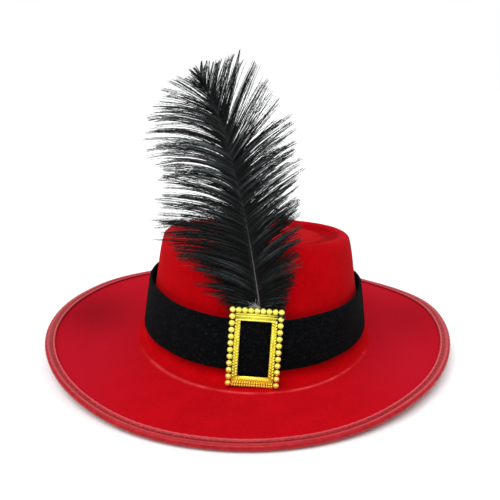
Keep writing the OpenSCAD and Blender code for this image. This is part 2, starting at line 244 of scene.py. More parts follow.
def grid_faces(rows, cols, wrap_rows=True, wrap_cols=True):
    """Quads of a grid of rows x cols points, closed on itself either way."""
    r = np.arange(rows if wrap_rows else rows - 1)
    c = np.arange(cols if wrap_cols else cols - 1)
    r, c = (g.ravel() for g in np.meshgrid(r, c, indexing="ij"))
    r2, c2 = (r + 1) % rows, (c + 1) % cols
    return np.stack([r * cols + c, r2 * cols + c, r2 * cols + c2, r * cols + c2], -1)


def end_fans(sides, far):
    """Triangles that close both ends of a tube; far is the first point of its far end."""
    fan = np.array([[0, i, i + 1] for i in range(1, sides - 1)])
    return np.concatenate([fan, fan[:, ::-1] + far])


def rosette(middle, ring, flip=False):
    """Triangles from one middle point to a closed ring of points."""
    tris = np.stack([np.full(len(ring), middle), ring, np.roll(ring, -1)], -1)
    return tris[:, [0, 2, 1]] if flip else tris


def into_scene(name, data):
    made = bpy.data.objects.new(name, data)
    bpy.context.scene.collection.objects.link(made)
    return made


def put_mesh(name, points, quads=(), tris=(), layers=None):
    """A mesh object from points in millimetres. layers are numbers kept at each point for the materials."""
    quads = np.asarray(quads, np.int32).reshape(-1, 4)
    tris = np.asarray(tris, np.int32).reshape(-1, 3)
    mesh = bpy.data.meshes.new(name)
    mesh.vertices.add(len(points))
    mesh.vertices.foreach_set("co", (np.asarray(points, float) * MM).astype(np.float32).ravel())
    corners = np.concatenate([quads.ravel(), tris.ravel()])
    mesh.loops.add(len(corners))
    mesh.loops.foreach_set("vertex_index", corners)
    sizes = np.concatenate([np.full(len(quads), 4), np.full(len(tris), 3)])
    mesh.polygons.add(len(sizes))
    mesh.polygons.foreach_set("loop_start", np.concatenate([[0], np.cumsum(sizes)[:-1]]).astype(np.int32))
    mesh.update(calc_edges=True)
    mesh.polygons.foreach_set("use_smooth", np.full(len(sizes), True))
    for layer, values in (layers or {}).items():
        kept = mesh.attributes.new(layer, "FLOAT", "POINT")
        kept.data.foreach_set("value", np.asarray(values, np.float32).ravel())
    mesh.validate()
    return into_scene(name, mesh)


def tubes(paths, radii, sides, out):
    """Closed thin tubes along many paths at once. paths is (n, k, 3), radii (n, k), out a rough normal.
    Returns points, quads, end triangles, and each point's tube number and its share of the way."""
    n, k, _ = paths.shape
    ahead = unit(np.gradient(paths, axis=1))
    side = unit(np.cross(ahead, np.broadcast_to(out, ahead.shape)))
    up = np.cross(side, ahead)
    g = FULL_TURN * np.arange(sides) / sides
    across, out_of = (turn(g)[None, None, :, None] for turn in (np.cos, np.sin))
    ring = across * side[:, :, None] + out_of * up[:, :, None]
    points = paths[:, :, None] + radii[:, :, None, None] * ring
    quads = grid_faces(k, sides, wrap_rows=False)[:, ::-1]
    first = (np.arange(n) * k * sides)[:, None, None]
    quads = (quads[None] + first).reshape(-1, 4)
    tris = (end_fans(sides, (k - 1) * sides)[None] + first).reshape(-1, 3)
    number = np.repeat(np.arange(n), k * sides)
    way = np.tile(np.repeat(np.linspace(0, 1, k), sides), n)
    return points.reshape(-1, 3), quads, tris, number, way


def threads(name, starts, ends, radius, out, bow=0.35, steps=5):
    """Stitches from each start to each end: short threads whose ends dip into the cloth."""
    s = np.linspace(0, 1, steps)[None, :, None]
    paths = mix(starts[:, None], ends[:, None], s) + bow * radius * 2 * np.sin(math.pi * s) * out[:, None]
    radii = np.broadcast_to(radius * (0.55 + 0.45 * np.sin(math.pi * s[..., 0]) ** 0.5), paths.shape[:2])
    normal = np.broadcast_to(out[:, None], paths.shape)
    points, quads, tris, number, _ = tubes(paths, radii, 6, normal)
    return put_mesh(name, points, quads, tris, {"shade": shade_of(number, len(starts), 5)})


def shade_of(number, count, seed):
    """One random number from 0 to 1 for each tube, at each of its points."""
    return np.random.default_rng(seed).random(count)[number]


# -------------------- materials

class Nodes:
    """Short ways to make the nodes of a material or of the world."""

    def __init__(self, owner):
        owner.use_nodes = True
        self.tree = owner.node_tree

    def add(self, kind, inputs=None, **settings):
        node = self.tree.nodes.new("ShaderNode" + kind)
        for key, value in settings.items():
            setattr(node, key, value)
        for key, value in (inputs or {}).items():
            self.put(node, key, value)
        return node

    def put(self, node, key, value):
        if isinstance(value, bpy.types.NodeSocket):
            self.tree.links.new(value, node.inputs[key])
        else:
            node.inputs[key].default_value = value

    def place(self, scale=(1, 1, 1)):
        """Places on the piece in metres, stretched by scale."""
        inputs = {"Vector": self.add("TexCoord").outputs["Object"], "Scale": scale}
        return self.add("Mapping", inputs).outputs["Vector"]

    def noise(self, scale, stretch=(1, 1, 1), detail=3.0, rough=0.55):
        return self.add("TexNoise", {"Vector": self.place(stretch), "Scale": scale, "Detail": detail,
                                     "Roughness": rough}).outputs["Fac"]

    def ramp(self, value, *stops):
        """A ramp through (place, colour) stops."""
        node = self.add("ValToRGB", {"Fac": value})
        ramp = node.color_ramp
        while len(ramp.elements) < len(stops):
            ramp.elements.new(0.5)
        for element, (place, colour) in zip(ramp.elements, stops):
            element.position = place
            element.color = (*colour, 1)
        return node.outputs["Color"]

    def level(self, value, *stops):
        """A ramp through (place, grey level) stops."""
        return self.ramp(value, *((place, (grey,) * 3) for place, grey in stops))

    def blend(self, share, low, high):
        node = self.add("Mix", data_type="RGBA")
        for key, value in ((0, share), (6, low), (7, high)):
            if not isinstance(value, bpy.types.NodeSocket) and key:
                value = (*value, 1)
            self.put(node, key, value)
        return node.outputs[2]

    def math(self, operation, *values):
        node = self.add("Math", operation=operation)
        for i, value in enumerate(values):
            self.put(node, i, value)
        return node.outputs[0]

    def layer(self, name):
        return self.add("Attribute", attribute_name=name).outputs["Fac"]

    def bump(self, height, depth_mm, strength):
        inputs = {"Height": height, "Distance": depth_mm * MM, "Strength": strength}
        return self.add("Bump", inputs).outputs["Normal"]


class Finish(Nodes):
    """A material and the inputs of its shader."""

    def __init__(self, name):
        self.material = bpy.data.materials.new(name)
        super().__init__(self.material)
        self.shader = self.tree.nodes["Principled BSDF"]

    def set(self, **values):
        for key, value in values.items():
            self.put(self.shader, key.replace("_", " "), value)


def red_felt():
    """Needled felt: matted fibres, faint mottling, painted sheen and shade, and a painted highlight on the
    mould line.
    """
    n = Finish("red_felt")
    mottle = n.noise(55, detail=4)
    fibres = n.noise(620, stretch=(1, 1, 0.22), detail=3, rough=0.7)
    cross = n.noise(900, stretch=(0.35, 1, 1), detail=2, rough=0.6)
    nap = n.math("ADD", n.math("MULTIPLY", fibres, 0.6), n.math("MULTIPLY", cross, 0.4))
    colour = n.blend(n.level(mottle, (0.35, 0), (0.7, 1)), (0.35, 0.0004, 0.002), (0.44, 0.0006, 0.003))
    light = n.level(nap, (0.38, 0), (0.62, 0.5))
    colour = n.blend(light, colour, (0.54, 0.001, 0.005))
    # Painted sheen: pinker felt towards the brim's sides and along the crown's rim.
    colour = n.blend(n.layer("painted_sheen"), colour, (0.40, 0.004, 0.014))
    # Painted shade: darker patches on the brim and a darker crease inside the crown's rim.
    colour = n.blend(n.layer("painted_shade"), colour, (0.11, 0.0005, 0.002))
    # Painted highlight along the front of the mould ridge, broken up by the mottling.
    ridge_highlight = n.level(mottle, (0.42, 0.15), (0.6, 0.6))
    colour = n.blend(n.math("MULTIPLY", n.layer("crest"), ridge_highlight), colour, (0.80, 0.10, 0.12))
    normal = n.bump(nap, 0.35, 0.8)
    n.set(Base_Color=colour, Roughness=0.95, Specular_IOR_Level=0.03, Sheen_Weight=0.05, Sheen_Roughness=0.4,
          Sheen_Tint=(1.0, 0.16, 0.22, 1), Normal=normal)
    return n.material


def satin(name, dark, bright, crest, rough):
    """Satin ribbon: fine ribs across the tape, a soft gloss, painted shade in the grooves and painted
    highlights on the crests.
    """
    n = Finish(name)
    parts = n.add("SeparateXYZ", {"Vector": n.place()})
    turn = n.math("ARCTAN2", parts.outputs["Y"], parts.outputs["X"])
    ribs = n.math("SINE", n.math("MULTIPLY", turn, 1700.0))
    slubs = n.noise(260, detail=3)
    colour = n.blend(n.level(slubs, (0.35, 0), (0.7, 1)), dark, bright)
    # Painted highlights on the crests of the hem and the roll.
    colour = n.blend(n.math("MULTIPLY", n.layer("crest"), 0.7), colour, crest)
    # Painted shade in the stitched groove and along the hem's inner edge.
    colour = n.blend(n.math("MULTIPLY", n.layer("groove"), 0.45), colour, tuple(c * 0.4 for c in dark))
    normal = n.bump(n.math("ADD", n.math("MULTIPLY", ribs, 0.25), slubs), 0.12, 0.6)
    n.set(Base_Color=colour, Roughness=rough, Specular_IOR_Level=0.2, Sheen_Weight=0.02, Sheen_Roughness=0.3,
          Sheen_Tint=(1.0, 0.5, 0.55, 1), Normal=normal)
    return n.material


def thread_material(name, dark, bright):
    """Twisted sewing thread."""
    n = Finish(name)
    twist = n.noise(3500, detail=2)
    shade = n.layer("shade")
    colour = n.blend(n.math("MULTIPLY", n.math("ADD", twist, shade), 0.5), dark, bright)
    n.set(Base_Color=colour, Roughness=0.7, Sheen_Weight=0.3, Normal=n.bump(twist, 0.1, 0.7))
    return n.material


def black_felt():
    """Thin hairy felt with grey strays."""
    n = Finish("black_felt")
    hairs = n.noise(420, stretch=(0.5, 0.5, 1.6), detail=4, rough=0.72)
    cross = n.noise(700, stretch=(1, 1, 0.4), detail=3, rough=0.7)
    light = n.level(n.math("MULTIPLY", hairs, cross), (0.27, 0), (0.42, 1))
    colour = n.blend(light, (0.0012, 0.0018, 0.0022), (0.010, 0.0125, 0.014))
    normal = n.bump(n.math("ADD", hairs, cross), 0.5, 0.8)
    n.set(Base_Color=colour, Roughness=0.95, Specular_IOR_Level=0.05, Sheen_Weight=0.012, Sheen_Roughness=0.5,
          Sheen_Tint=(0.7, 0.85, 1.0, 1), Normal=normal)
    return n.material


def gold_plate():
    """Metallised plastic: bright yellow gold, a little darker down on the back plate than on the relief, and
    a painted reflection of the red brim towards the foot.
    """
    n = Finish("gold_plate")
    patches = n.noise(160, detail=3)
    scuffs = n.noise(1500, detail=2)
    colour = n.ramp(patches, (0.3, (1.0, 0.97, 0.10)), (0.7, (1.0, 1.0, 0.24)))
    # Painted reflection of the red brim: orange towards the buckle's foot.
    colour = n.blend(n.math("MULTIPLY", n.layer("low"), 0.8), colour, (1.0, 0.56, 0.07))
    # Darker down on the back plate than on the relief.
    colour = n.blend(n.layer("crest"), (0.92, 0.76, 0.06), colour)
    rough = n.level(scuffs, (0.35, 0.14), (0.7, 0.27))
    n.set(Base_Color=colour, Metallic=0.5, Roughness=rough, Normal=n.bump(scuffs, 0.02, 0.35))
    return n.material


def plume_black(name, dark, bright, rough):
    """Dyed feather: each strand has its own depth of black, with painted sheen on the brighter strands and
    painted light showing through towards its thin tip.
    """
    n = Finish(name)
    shade, way = n.layer("shade"), n.layer("way")
    streaks = n.noise(900, detail=2)
    own = n.math("ADD", n.math("MULTIPLY", shade, 0.8), n.math("MULTIPLY", streaks, 0.2))
    # Painted sheen: the brightest strands stand in for the feather's highlights.
    colour = n.blend(n.math("POWER", own, 5.0), dark, bright)
    # Painted light showing through the thin tips.
    tip = n.math("POWER", way, 5.0)
    colour = n.blend(n.math("MULTIPLY", tip, 0.2), colour, (0.06, 0.075, 0.075))
    n.set(Base_Color=colour, Roughness=rough, Specular_IOR_Level=0.14, Normal=n.bump(streaks, 0.05, 0.4))
    return n.material


def horn(name, low, high):
    """The shaft's dyed horn: paler at its foot and dark towards its tip."""
    n = Finish(name)
    way = n.layer("way")
    grain = n.noise(500, stretch=(1, 1, 0.1), detail=3)
    colour = n.blend(n.level(way, (0.3, 0), (0.55, 1)), low, high)
    colour = n.blend(n.math("MULTIPLY", grain, 0.5), colour, tuple(0.45 * c for c in low))
    n.set(Base_Color=colour, Roughness=0.38, Normal=n.bump(grain, 0.05, 0.5))
    return n.material


def plain(name, dark, bright, rough, scale, metallic=0.0, bump_mm=0.05, stretch=(1, 1, 1)):
    """A finish with mottled colour and a fine surface, for the parts inside and the small fittings."""
    n = Finish(name)
    grain = n.noise(scale, stretch=stretch, detail=4)
    colour = n.ramp(grain, (0.35, dark), (0.68, bright))
    uneven = n.level(grain, (0.3, rough * 0.8), (0.7, min(1, rough * 1.15)))
    n.set(Base_Color=colour, Metallic=metallic, Roughness=uneven, Normal=n.bump(grain, bump_mm, 0.6))
    return n.material


def glue():
    """Hot glue: milky and half clear."""
    n = Finish("hot_glue")
    cloud = n.noise(400, detail=3)
    n.set(Base_Color=n.ramp(cloud, (0.3, (0.62, 0.57, 0.42)), (0.7, (0.82, 0.79, 0.66))), Roughness=0.3,
          Subsurface_Weight=0.3, Normal=n.bump(cloud, 0.1, 0.5))
    return n.material


def paint(piece, material):
    piece.data.materials.clear()
    piece.data.materials.append(material)


def dress(piece, material, body, slot_name, *nodes):
    """Gives a piece its material, the body it rides on and the CAD nodes that it stands for; slot_name is not
    used.
    """
    paint(piece, material)
    if nodes:
        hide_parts(*nodes)
    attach(piece, body)
    return piece


# -------------------- camera, floor and light

CAMERA_PLACE = (0.0019, -0.4871, 0.2222)
CAMERA_DOWN = math.radians(16.88)
CAMERA_LENS_MM = 42.75
# Name, strength, width of the light, tilt from straight above and turn round the hat, in degrees.
SUNS = (("key", 2.4, 55, 32, -35), ("fill", 0.7, 70, 42, 40), ("rim", 0.4, 60, 55, 170))
SKY_STRENGTH = 0.52
SKY_GAP_TOWARD = (0.05, -0.93, 0.36)
FLOOR_HALF = 6.0
FLOOR_Z = -0.0002


def studio():
    """Camera a little above the brim, pale floor, and soft light with a dark gap over the camera."""
    camera = into_scene("camera", bpy.data.cameras.new("camera"))
    camera.location = CAMERA_PLACE
    camera.rotation_euler = (math.pi / 2 - CAMERA_DOWN, 0, 0)
    camera.data.lens = CAMERA_LENS_MM
    camera.data.clip_start = 0.01
    bpy.context.scene.camera = camera

    for name, strength, width, tilt, turn in SUNS:
        lamp = bpy.data.lights.new(name, "SUN")
        lamp.energy = strength
        lamp.angle = math.radians(width)
        into_scene(name, lamp).rotation_euler = (math.radians(tilt), 0, math.radians(turn))

    floor_mesh = bpy.data.meshes.new("floor")
    corners = [(x * FLOOR_HALF, y * FLOOR_HALF, FLOOR_Z) for x, y in ((-1, -1), (1, -1), (1, 1), (-1, 1))]
    floor_mesh.from_pydata(corners, [], [(0, 1, 2, 3)])
    floor_mesh.materials.append(plain("floor_paint", (0.90,) * 3, (0.93,) * 3, 0.8, 30, bump_mm=0.02))
    floor = into_scene("floor", floor_mesh)

    world = bpy.data.worlds.new("studio")
    bpy.context.scene.world = world
    n = Nodes(world)
    n.tree.nodes.clear()
    way = n.add("TexCoord").outputs["Generated"]
    height = n.add("SeparateXYZ", {0: way}).outputs["Z"]
    sky = n.level(height, (0, 0.85), (0.45, 1))
    toward = n.add("VectorMath", {0: way, 1: SKY_GAP_TOWARD}, operation="DOT_PRODUCT").outputs["Value"]
    gap = n.level(toward, (0.92, 1), (0.965, 0.02))
    dimmed = n.add("VectorMath", {0: sky, 1: gap}, operation="MULTIPLY").outputs[0]
    around = n.add("Background", {"Color": dimmed, "Strength": SKY_STRENGTH}).outputs[0]
    white = n.add("Background", {"Color": (1, 1, 1, 1)}).outputs[0]
    seen = n.add("LightPath").outputs["Is Camera Ray"]
    n.add("OutputWorld", {"Surface": n.add("MixShader", {0: seen, 1: around, 2: white}).outputs[0]})
    bpy.context.scene.view_settings.view_transform = "Standard"


# -------------------- felt body

def mould_line_a(t):
    """Half-width of the ridge that the mould left round the crown's foot."""
    return 103.5 - 4.5 * np.cos(2 * t)


def felt_line():
    """The felt's outer surface from near the middle of the crown's top out to the brim's edge."""
    plateau_z = CROWN_H - 2.4
    felt_edge_a = WIRE_A - 1.8
    corners = np.concatenate([
        [[4, plateau_z + 0.2], [28, plateau_z], [48, plateau_z - 0.8]],
        arc(MOAT_MID_A, CROWN_H - MOAT_DEPTH + MOAT_R, MOAT_R, 215, 320, 14),
        arc(CROWN_TOP_W - 8.5, CROWN_H - RIM_R, RIM_R, 160, 8, 18),
        [[CROWN_TOP_W - 1.8, SHOULDER_Z], [CROWN_TOP_W, WALL_MID_Z]],
        [[CROWN_BAND_W, BAND_TOP_Z - 1], [CROWN_FOOT_W, BAND_FOOT_Z]],
        arc(CROWN_FOOT_W + FOOT_R + 0.2, BRIM_TOP_Z + FOOT_R + 0.1, FOOT_R, 190, 270, 12),
        [[118, BRIM_TOP_Z], [140, BRIM_TOP_Z - 0.1]],
        [[WIRE_A - 7.1, EDGE_Z + FELT_T / 2], [felt_edge_a, EDGE_Z + FELT_T / 2]]])
    return relax(resample(corners, 1.0), 1)


def build_felt():
    """Crown and brim, moulded from one piece of felt."""
    turns = 330
    outer = felt_line()
    inner = outer + FELT_T * right_of(outer)
    t = all_round(turns)
    from_ridge = outer[None, :, 0] - mould_line_a(t)
    brim = outer[None, :, 1] < 9
    ridge_line = bell(from_ridge, 1.1) * brim
    upper = hat_points(outer[None, :, 0], outer[None, :, 1] + 0.6 * ridge_line, t)
    lower = hat_points(inner[None, ::-1, 0], inner[None, ::-1, 1], t)
    m = 2 * len(outer)
    points = np.concatenate([upper, lower], axis=1).reshape(-1, 3)
    quads = grid_faces(turns, m, wrap_cols=False)
    top, under = len(points), len(points) + 1
    middle = hat_points([0, 0], [outer[0, 1], inner[0, 1]], [0, 0])
    ring = np.arange(turns) * m
    tris = np.concatenate([rosette(top, ring), rosette(under, ring + m - 1, flip=True)])
    x, y = upper[..., 0], upper[..., 1]
    outside = smooth(from_ridge / 3) * brim
    line_a, line_z = outer[None, :, 0], outer[None, :, 1]
    # Painted sheen along the crown's rim.
    rim = bell(line_a - CROWN_TOP_W + 8, 3.5) * (line_z > 80)
    # Painted shade in the crease inside the crown's rim.
    crease = 0.5 * bell(line_a - MOAT_MID_A - 1, 6.5) * (line_z > 80)
    # Painted shade in broad patches on the brim's left and right sides.
    patches = 0.5 * bell(x + 140, 36) * bell(y - 18, 46) + 0.3 * bell(x - 148, 22) * bell(y - 5, 45)
    # The crest layer is a painted highlight along the front of the mould ridge.
    layers = {"crest": ridge_line * smooth(-np.sin(t) * 2.2 - 0.7),
              # Painted sheen towards the brim's sides and on the rim.
              "painted_sheen": outside * (0.25 + 0.75 * smooth((abs(x) - 60) / 70)) + 0.5 * rim,
              # Painted shade in the patches and the crease.
              "painted_shade": brim * patches + crease}
    for name, values in layers.items():
        both = np.concatenate([values + 0 * x, 0 * x], axis=1)
        layers[name] = np.concatenate([both.ravel(), [0, 0]])
    return put_mesh("felt_shell", np.concatenate([points, middle]), quads[:, ::-1], tris, layers)


# -------------------- edge binding

def binding_line():
    """The tape's outer face in section: upper hem, stitched groove, roll round the wire, lower hem."""
    upper = [[161.8, 4.0], [162.0, 4.9], [162.7, 5.4], [163.4, 5.3], [164.1, 4.5], [164.7, 3.9],
             [165.3, 4.1], [166.1, 4.6]]
    roll = arc(WIRE_A, EDGE_Z, ROLL_R, 100, -100, 15)
    lower = [[166.1, 0.15], [165.3, 0.45], [164.7, 0.8], [164.1, 0.5], [163.4, 0.2], [162.7, 0.3],
             [162.0, 0.6], [161.8, 1.0]]
    return relax(resample(np.concatenate([upper, roll, lower]), 0.5), 2)


def build_binding():
    """Ribbon folded over the brim's edge, its fine puckers bunched along the hem and round the roll."""
    turns = 1300
    outer = binding_line()
    inner = outer + TAPE_T * right_of(outer)
    way = np.linspace(0, 1, len(outer))
    t = all_round(turns)
    roll_share = bell(way - 0.5, 0.2)[None]
    hem_share = bell(way - 0.14, 0.09)[None] + 0.6 * bell(way - 0.86, 0.09)[None]
    swell = 1 + 0.5 * np.sin(11 * t + 0.3) * np.sin(5 * t + 1.1)
    folds = (0.5 * np.sin(163 * t + 9 * way[None]) + 0.32 * np.sin(219 * t + 2.0 - 7 * way[None])
             + 0.22 * np.sin(347 * t + 0.9 + 13 * way[None]))
    rise = swell * folds * (0.10 * roll_share + 0.26 * hem_share)
    rise = np.where(way[None] > 0.55, np.minimum(rise, 0), rise)
    upper, lower = (line[None] - share * rise[..., None] * right_of(line)[None]
                    for line, share in ((outer, 1.0), (inner, 0.8)))
    section = np.concatenate([upper, lower[:, ::-1]], axis=1)
    points = hat_points(section[..., 0], section[..., 1], t)
    m = section.shape[1]
    a, z = outer.T
    # Painted shade in the stitched groove and at the hem's inner edge.
    groove = bell(a - 164.8, 0.6) + 0.3 * bell(a - 161.9, 0.35)
    # Painted highlights along the hem's crest and the top of the roll.
    crest = (bell(a - 163.1, 0.55) + 0.55 * bell(a - 167.4, 0.8)) * (z > 3)
    layers = {name: np.tile(np.concatenate([values, values[::-1]]), turns)
              for name, values in (("groove", groove), ("crest", crest))}
    return put_mesh("binding_tape", points.reshape(-1, 3), grid_faces(turns, m)[:, ::-1], layers=layers)


def build_binding_stitches():
    """The row of machine stitches along the tape's groove."""
    count, a, z = 270, 164.7, 4.05
    start = FULL_TURN * np.arange(count) / count
    end = start + 0.62 * FULL_TURN / count
    up = np.tile([0, 0, 1.0], (count, 1))
    return threads("binding_thread", hat_points(a, z, start), hat_points(a, z, end), 0.24, up)


# -------------------- hat band

LAP = math.radians(12)
BAND_START = BACK - LAP
BAND_TURN = FULL_TURN + 2 * LAP
DROOP = 4.6
DROOP_AT = FRONT - 0.022
DROOP_SPREAD = 16.5 / 95


def band_points(t, z, depth):
    """Points of the band: t runs on past a full turn where its end laps over its start, and depth is 0 on
    its outer face and BAND_T on its inner face."""
    over = smooth((t - BAND_START - FULL_TURN + math.radians(16)) / math.radians(14)) * (BAND_T + 0.25)
    edge = band_share(z)
    wave = (0.5 * np.sin(3 * t + 0.5) + 0.35 * np.sin(8 * t + 1.0)) * away_from_front(t) * edge ** 2
    rise = (0.35 * np.sin(5 * t) + 0.2 * np.sin(17 * t + 0.6)) * (edge - 0.5) * away_from_front(t)
    droop = DROOP * np.exp(-(turn_from(t, DROOP_AT) / DROOP_SPREAD) ** 6) * (1 - edge) ** 2
    skew = -BAND_SKEW * band_a(z) * np.cos(t) * edge - droop
    return hat_points(band_a(z) - depth + over + wave, z + rise + skew, t, band_extra(z))


def build_band():
    """Strip of felt round the crown, its end lapped over its start at the back."""
    steps, columns, corner, bevel = 18, 700, 0.5, 0.12
    face_out, face_in = corner * 0.35, BAND_T - corner * 0.35
    t = np.linspace(BAND_START, BAND_START + BAND_TURN, columns)[:, None]
    zs = np.linspace(BAND_FOOT_Z + corner, BAND_TOP_Z - corner, steps)
    section = np.concatenate([
        np.stack([zs, np.zeros(steps)], -1),
        [[BAND_TOP_Z - bevel, face_out], [BAND_TOP_Z, BAND_T / 2], [BAND_TOP_Z - bevel, face_in]],
        np.stack([zs[::-1], np.full(steps, BAND_T)], -1),
        [[BAND_FOOT_Z + bevel, face_in], [BAND_FOOT_Z, BAND_T / 2], [BAND_FOOT_Z + bevel, face_out]]])
    points = band_points(t, section[None, :, 0], section[None, :, 1])
    m = len(section)
    quads = grid_faces(columns, m, wrap_rows=False)
    quads = np.concatenate([quads[:, ::-1], cap_quads(m, 0, False), cap_quads(m, (columns - 1) * m, True)])
    return put_mesh("band_strip", points.reshape(-1, 3), quads)


def cap_quads(m, base, flip):
    """Quads that close one end of a strip whose section has m points, an even number, in mirrored pairs."""
    pairs = [(i, m - 1 - i) for i in range(m // 2)]
    quads = np.array([[p[0], q[0], q[1], p[1]] for p, q in zip(pairs, pairs[1:])]) + base
    return quads[:, ::-1] if flip else quads


def build_band_stitches():
    """Hand stitches that hold down the band's lapped end."""
    count = 6
    z = np.linspace(BAND_FOOT_Z + 5, BAND_TOP_Z - 6, count)
    end = BAND_START + BAND_TURN
    starts = band_points(np.full(count, end - math.radians(1.6)), z, np.full(count, -0.1))
    finish = band_points(np.full(count, end - FULL_TURN + math.radians(1.6)), z + 1.2, np.full(count, -0.1))
    out = np.tile([0, 1.0, 0], (count, 1))
    return threads("band_end_thread", starts, finish, 0.3, out, bow=1.6, steps=9)


# -------------------- loose fibres

def fibres(name, count, seed, pick, length, radius, material, body, slot_name, rise=0.5):
    """Short curved hairs on a surface. pick(rng, count) gives places, surface normals and directions."""
    rng = np.random.default_rng(seed)
    place, normal, ahead = pick(rng, count)
    side = np.cross(normal, ahead)
    lengths = length * (0.5 + rng.random(count))[:, None, None]
    bend = rng.normal(0, 0.6, count)[:, None, None]
    lift_up = rise * rng.random(count)[:, None, None]
    s = np.linspace(0, 1, 4)[None, :, None]
    paths = (place[:, None] + normal[:, None] * (0.02 + lift_up * s * (1.6 - s))
             + lengths * (ahead[:, None] * s + side[:, None] * bend * s * s))
    radii = np.broadcast_to(radius * (1 - 0.6 * s[..., 0]), (count, 4))
    points, quads, tris, number, way = tubes(paths, radii, 3, normal[:, None])
    layers = {"shade": shade_of(number, count, seed + 1), "way": way}
    piece = put_mesh(name, points, quads, tris, layers)
    return dress(piece, material, body, slot_name)


def on_surface(f, u, v, rng, step=0.01):
    """Places on a surface f(u, v), their normals, and at each a random direction along the surface."""
    p = f(u, v)
    du = f(u + step, v) - p
    dv = f(u, v + step * 20) - p
    g = rng.random(len(u))[:, None] * FULL_TURN
    return p, unit(np.cross(du, dv)), np.cos(g) * unit(du) + np.sin(g) * unit(dv)


def pick_band(rng, count):
    t = BAND_START + BAND_TURN * rng.random(count)
    z = mix(BAND_FOOT_Z + 0.3, BAND_TOP_Z - 0.3, rng.random(count))
    return on_surface(lambda u, v: band_points(u, v, 0), t, z, rng)


def pick_felt(rng, count):
    """Places all over the upper side of crown and brim, evenly by area as near as rings allow."""
    line = felt_line()
    line = line[(line[:, 0] > 30) & (line[:, 0] < 161)]
    at = rng.choice(len(line) - 1, count, p=line[:-1, 0] / line[:-1, 0].sum())
    part = rng.random(count)

    def place(t, along):
        low = np.clip(np.floor(along).astype(int), 0, len(line) - 2)
        spot = mix(line[low], line[low + 1], (along - low)[:, None])
        return hat_points(spot[:, 0], spot[:, 1], t)

    p, normal, ahead = on_surface(place, rng.random(count) * FULL_TURN, at + part * 0.7, rng)
    return p, -normal, ahead


# -------------------- sweatband and label

def build_sweatband():
    """Leatherette strip with a rounded upper edge and a stitched foot."""
    turns, steps, thickness = 360, 12, 0.8
    zs = np.linspace(BAND_FOOT_Z, SWEAT_TOP_Z, steps)
    face = wall_a(zs) - FELT_T - 0.3
    outer = np.stack([face, zs], -1)
    inside = np.stack([face - thickness, zs], -1)
    line = np.concatenate([inside, [[face[-1] - thickness / 2, SWEAT_TOP_Z + 0.4]], outer[::-1]])
    t = all_round(turns)
    pull = 0.12 * np.sin(72 * t) * bell(line[None, :, 1] - BAND_FOOT_Z - 2.5, 2)
    points = hat_points(line[None, :, 0] + pull, line[None, :, 1], t)
    return put_mesh("sweatband_strip", points.reshape(-1, 3), grid_faces(turns, len(line)))


LABEL_FROM, LABEL_TO = math.radians(98), math.radians(112)
LABEL_FOOT_Z, LABEL_TOP_Z = 22, 36


def build_label():
    """Blank woven label, sewn to the sweatband."""
    columns, steps, thickness = 60, 10, 0.3
    t = np.linspace(LABEL_FROM, LABEL_TO, columns)[:, None]
    zs = np.linspace(LABEL_FOOT_Z, LABEL_TOP_Z, steps)
    face = wall_a(zs) - FELT_T - 1.4
    line = np.concatenate([np.stack([face - thickness, zs], -1), np.stack([face, zs], -1)[::-1]])
    middle = (t - LABEL_FROM) / (LABEL_TO - LABEL_FROM)
    pull = 0.25 * np.sin(math.pi * middle) * np.sin(math.pi * band_share(line[None, :, 1]) * 2.2)
    points = hat_points(line[None, :, 0] - abs(pull), line[None, :, 1], t)
    m = len(line)
    quads = np.concatenate([grid_faces(columns, m, wrap_rows=False), cap_quads(m, 0, True),
                            cap_quads(m, (columns - 1) * m, False)])
    return put_mesh("label_strip", points.reshape(-1, 3), quads)


# -------------------- buckle

BUCKLE_W, BUCKLE_H, BUCKLE_SIDE, BUCKLE_HEAD, BUCKLE_FOOT = 30, 51.8, 4, 5.8, 5.5
BEAD_R = 2.1
BUCKLE_TURN = math.radians(4)
BUCKLE_MID_Z = 33.4
BUCKLE_GAP = 1.0
BAND_LEAN = BAND_FOOT_W + BAND_FOOT_EXTRA - BAND_TOP_W - BAND_TOP_EXTRA
BAND_TILT = math.atan(BAND_LEAN / (BAND_TOP_Z - BAND_FOOT_Z))
BUCKLE_TILT = BAND_TILT + math.radians(2)


def on_buckle(points):
    """Buckle's own frame, x to the right, y up and z towards the front, to the hat's frame."""
    p = np.asarray(points, float)
    x, y = rotated(p[..., 0], p[..., 1], -BUCKLE_TURN)
    y, z = rotated(y, p[..., 2], math.pi / 2 - BUCKLE_TILT)
    mid_y = -(band_a(BUCKLE_MID_Z) + band_extra(BUCKLE_MID_Z)) - BUCKLE_GAP
    return np.stack([x + CROWN_SHIFT - 0.5, y + mid_y, z + BUCKLE_MID_Z], -1)


class Parts:
    """Collects closed shapes for one mesh. Their crest layer is 0 down on the back plate and 1 on the relief,
    and their low layer grows towards the buckle's foot."""

    def __init__(self):
        self.points, self.quads, self.tris, self.count = [], [], [], 0

    def add(self, points, quads, tris):
        points = np.asarray(points, float).reshape(-1, 3)
        self.points.append(points)
        self.quads.append(np.asarray(quads, int).reshape(-1, 4) + self.count)
        self.tris.append(np.asarray(tris, int).reshape(-1, 3) + self.count)
        self.count += len(points)

    def put(self, name, place):
        points = np.concatenate(self.points)
        # The low layer carries a painted reflection of the red brim on the gold towards the buckle's foot.
        layers = {"crest": clamp01((points[:, 2] - 1.12) / 0.5), "low": clamp01((-14 - points[:, 1]) / 13)}
        return put_mesh(name, place(points), np.concatenate(self.quads), np.concatenate(self.tris), layers)


